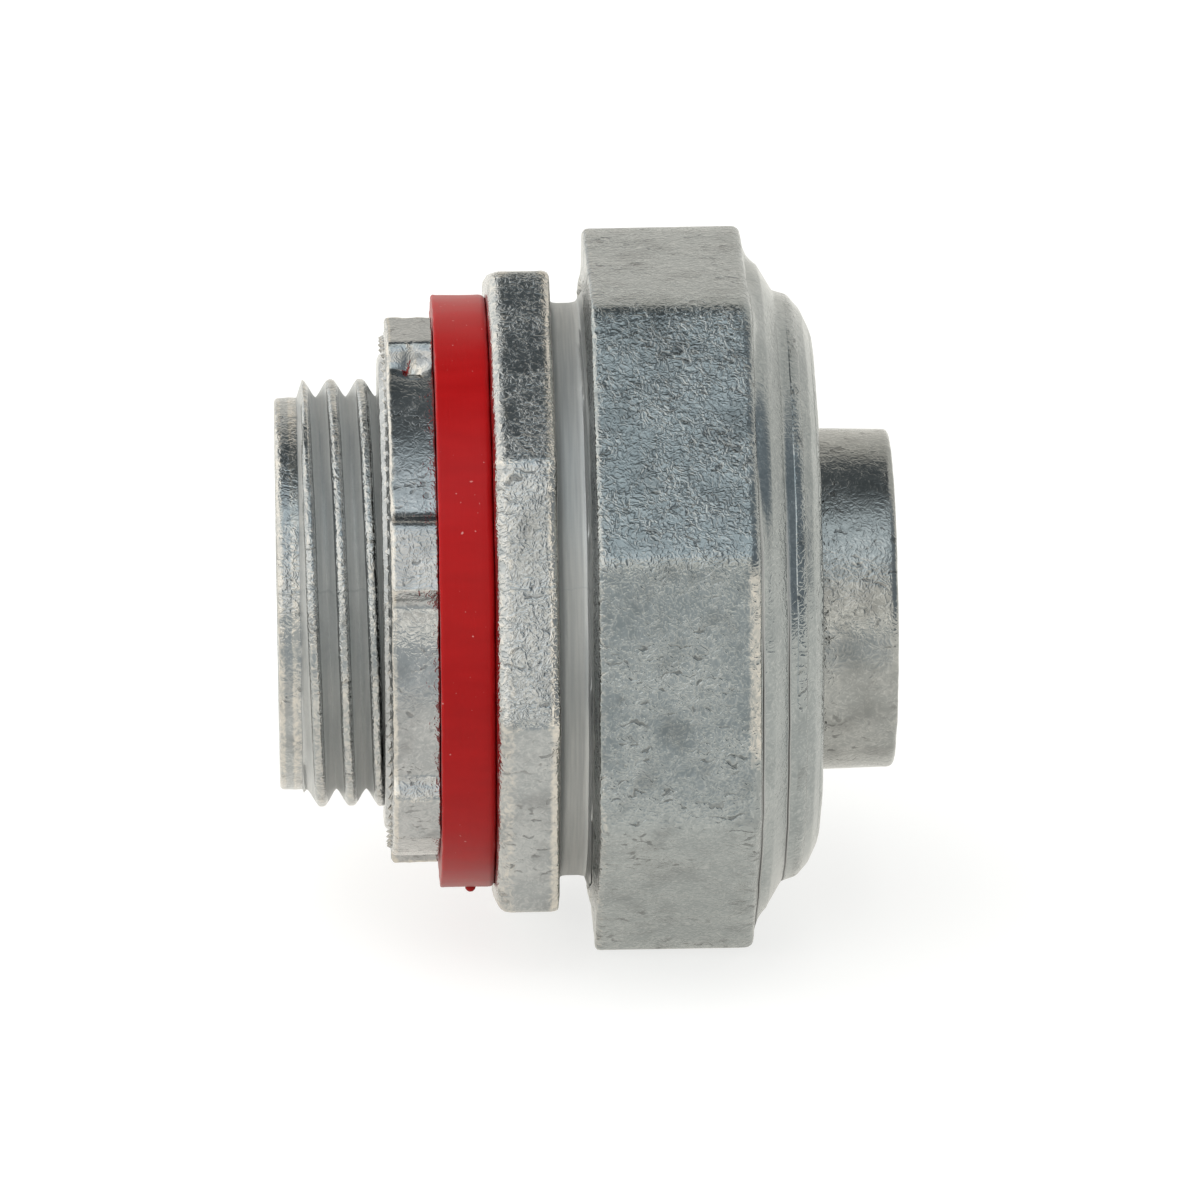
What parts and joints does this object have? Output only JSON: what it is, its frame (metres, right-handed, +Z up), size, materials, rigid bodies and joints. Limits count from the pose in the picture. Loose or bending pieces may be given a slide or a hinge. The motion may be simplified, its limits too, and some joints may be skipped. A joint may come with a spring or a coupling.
{
  "type": "liquidtight conduit connector",
  "caption": "Straight die-cast connector with a threaded box hub, locknut, sealing washer and octagonal gland nut, for fixing flexible liquidtight conduit to a box.",
  "frame": {"origin": "centre of the flange's hub-side face, on the connector's axis", "axes": "+X along the axis from the box hub to the conduit end, +Z up, a flat of the gland nut facing down"},
  "size_m": [0.0376, 0.042, 0.042],
  "materials": {
    "cast_zinc": "as-cast, satin",
    "nylon": "matte",
    "red_plastic": "satin"
  },
  "bodies": {
    "connector": {"connector_body": "cast_zinc", "ferrule": "cast_zinc"},
    "compression_ring": {"compression_ring": "nylon"},
    "gland_nut": {"gland_nut": "cast_zinc"},
    "sealing_washer": {"sealing_washer": "red_plastic"},
    "locknut": {"locknut": "cast_zinc"}
  },
  "joints": [
    {"name": "ring_slide", "type": "slide", "parent": "connector", "child": "compression_ring", "axis": [1, 0, 0], "range_m": [-0.0008, 0.0086]},
    {"name": "gland_turn", "type": "hinge", "parent": "compression_ring", "child": "gland_nut", "pos_m": [0, 0, 0], "axis": [1, 0, 0], "range_deg": [-180, 1944]},
    {"name": "washer_slide", "type": "slide", "parent": "connector", "child": "sealing_washer", "axis": [-1, 0, 0], "range_m": [0, 0.00775]},
    {"name": "locknut_turn", "type": "hinge", "parent": "sealing_washer", "child": "locknut", "pos_m": [0, 0, 0], "axis": [-1, 0, 0], "range_deg": [0, 1530]}
  ],
  "couplings": [
    {"joint": "ring_slide", "follows": "gland_turn", "m_per_rad": 0.00025266},
    {"joint": "washer_slide", "follows": "locknut_turn", "m_per_rad": 0.00028871}
  ]
}
